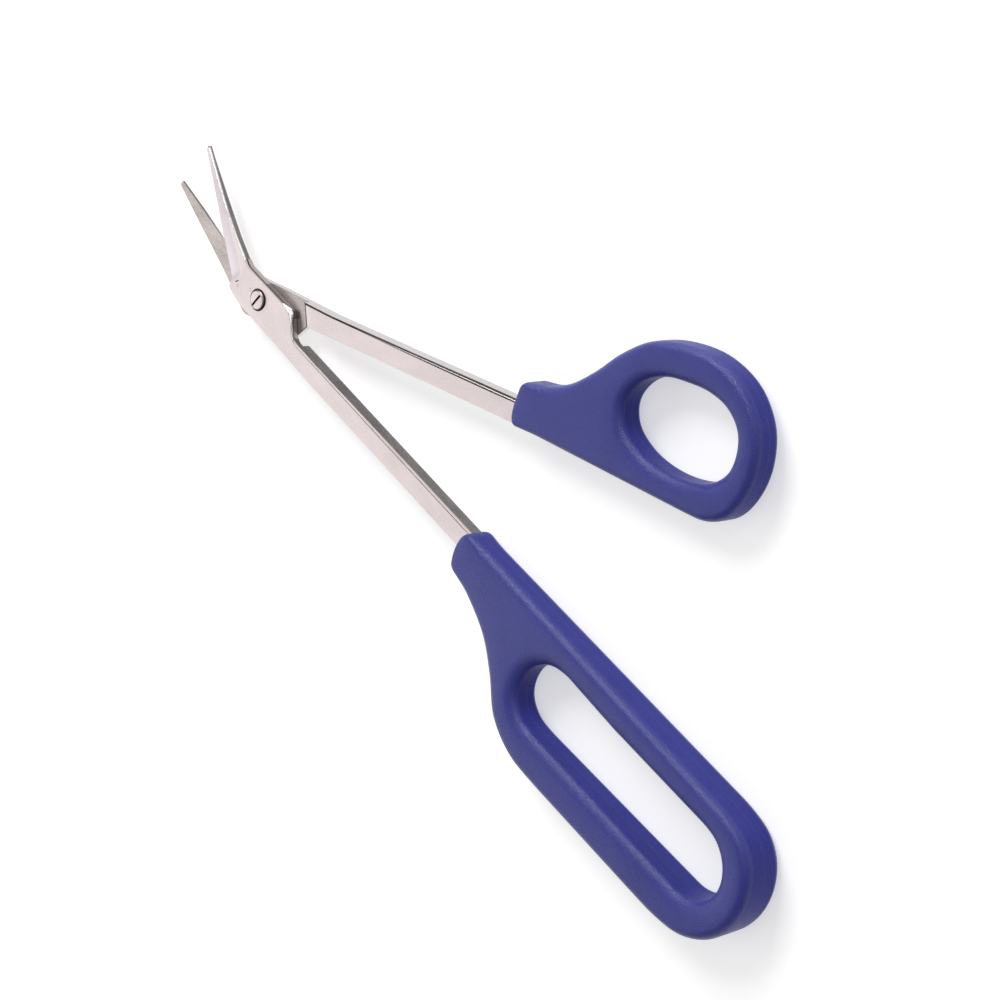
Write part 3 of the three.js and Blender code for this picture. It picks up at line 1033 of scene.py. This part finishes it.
COLLAR_FADE = 7


def rounded_edge(reach, drop, collar_end=0.0, more=(0.0, 0.0)):
    """How far a rounding runs in on the face and down the wall, as functions of the outline's points. It
    grows by more over the first COLLAR_FADE from the collar's end."""

    def grown(base, extra):
        return lambda points: base + extra * fade(points[:, 0], collar_end, collar_end + COLLAR_FADE)

    return grown(reach, more[0]), grown(drop, more[1])


POCKET_HALF = 1.9  # half the height of the pockets for the tangs


def finger_half(x):
    """Half the finger grip's thickness, which grows towards its far end."""
    return 3.4 + 0.019 * (x - 76)


def thumb_half(x):
    return 3.5 + 0.0 * x


finger_grip = grip(
    "finger_grip_moulding",
    FINGER_OUTER,
    FINGER_HOLE,
    finger_half,
    rounded_edge(0.75, 1.5, 76.5, (1.35, 0.6)),
    rounded_edge(3.3, 2.0),
    0.12,
)
cut(finger_grip, block(60, 90, -5.35, -0.65, -POCKET_HALF, POCKET_HALF, FACE))
finger_plastic = [plastic("plastic_finger")]
place(finger_grip, FRONT, "front_arm", "finger_grip", finger_plastic, GRIP_SHARP_ANGLE)

thumb_grip = grip(
    "thumb_grip_moulding",
    THUMB_OUTER,
    THUMB_HOLE,
    thumb_half,
    rounded_edge(0.65, 1.3, 78.0, (1.2, 0.6)),
    rounded_edge(2.4, 1.8),
    0.1,
)
# The pocket is open on its lower side at the mouth, where the shank is flush with the grip.
cut(thumb_grip, block(60, 78.8, -1.05, 4.1, -POCKET_HALF, POCKET_HALF, FACE))
cut(thumb_grip, block(78, 90, 0.25, 4.1, -POCKET_HALF, POCKET_HALF, FACE))
thumb_plastic = [plastic("plastic_thumb")]
place(thumb_grip, REAR, "rear_arm", "thumb_grip", thumb_plastic, GRIP_SHARP_ANGLE)

# ---------------------------------------------------------------- studio


def panel(name, direction, far, size, radiance):
    """A softbox of a given radiance, far metres away in a direction, facing the object."""
    data = bpy.data.lights.new(name, "AREA")
    data.shape = "RECTANGLE"
    data.size, data.size_y = size
    data.energy = radiance * math.pi * size[0] * size[1]
    light = bpy.data.objects.new(name, data)
    light.location = Vector(direction).normalized() * far
    light.rotation_euler = (-light.location).to_track_quat("-Z", "Y").to_euler()
    bpy.context.scene.collection.objects.link(light)


FLOOR_HALF = 3.0
FLOOR_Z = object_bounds()[0][2] - 0.0002
FLOOR_GLOW = 0.49
WORLD_STRENGTH = 0.30

floor_corners = [(x * FLOOR_HALF, y * FLOOR_HALF, FLOOR_Z) for x, y in ((-1, -1), (1, -1), (1, 1), (-1, 1))]
floor_mesh = mesh_from("floor", floor_corners, [(0, 1, 2, 3)])
floor = make_object("floor", floor_mesh)
material, nodes, links, shader = new_material("pale_floor")
mottle = noise(nodes, links, coordinates(nodes, links, 0.0, (1.0, 1.0, 1.0)), 0.02, 2.0)
floor_colour = ramp(nodes, links, mottle, [(0.3, (0.67, 0.67, 0.67)), (0.7, (0.69, 0.69, 0.69))])
links.new(floor_colour, shader.inputs["Base Color"])
shader.inputs["Roughness"].default_value = 0.9
shader.inputs["Specular IOR Level"].default_value = 0.1
# A faint glow keeps the floor white and its shadows soft.
shader.inputs["Emission Color"].default_value = (1, 1, 1, 1)
shader.inputs["Emission Strength"].default_value = FLOOR_GLOW
floor_mesh.materials.append(material)

world = bpy.data.worlds.new("studio")
world.use_nodes = True
background = world.node_tree.nodes["Background"]
background.inputs["Color"].default_value = (1.0, 0.995, 0.99, 1)
background.inputs["Strength"].default_value = WORLD_STRENGTH
bpy.context.scene.world = world
bpy.context.scene.view_settings.view_transform = "Standard"

panel("key", (-0.50, 0.64, 0.58), 0.9, (0.5, 0.5), 9.0)
panel("left_wall", (-0.62, -0.60, 0.47), 1.0, (1.0, 0.95), 1.22)
panel("fill", (0.34, 0.56, 0.755), 0.9, (0.62, 0.8), 1.0)

# The camera that the photograph's outlines were fitted with.
camera_data = bpy.data.cameras.new("camera")
camera_data.lens = 92.093
camera_data.sensor_width = 36
camera_data.clip_start = 0.01
camera = bpy.data.objects.new("camera", camera_data)
RIGHT = Vector((0.59958567, 0.41316103, -0.68541592))
UP = Vector((-0.63641047, 0.76543842, -0.09531917))
BACK = Vector((0.48526151, 0.49335787, 0.72188592))
turn = Matrix((RIGHT, UP, BACK)).transposed()
camera.matrix_world = Matrix.Translation((0.25605358, 0.24000346, 0.36477702)) @ turn.to_4x4()
bpy.context.scene.collection.objects.link(camera)
bpy.context.scene.camera = camera
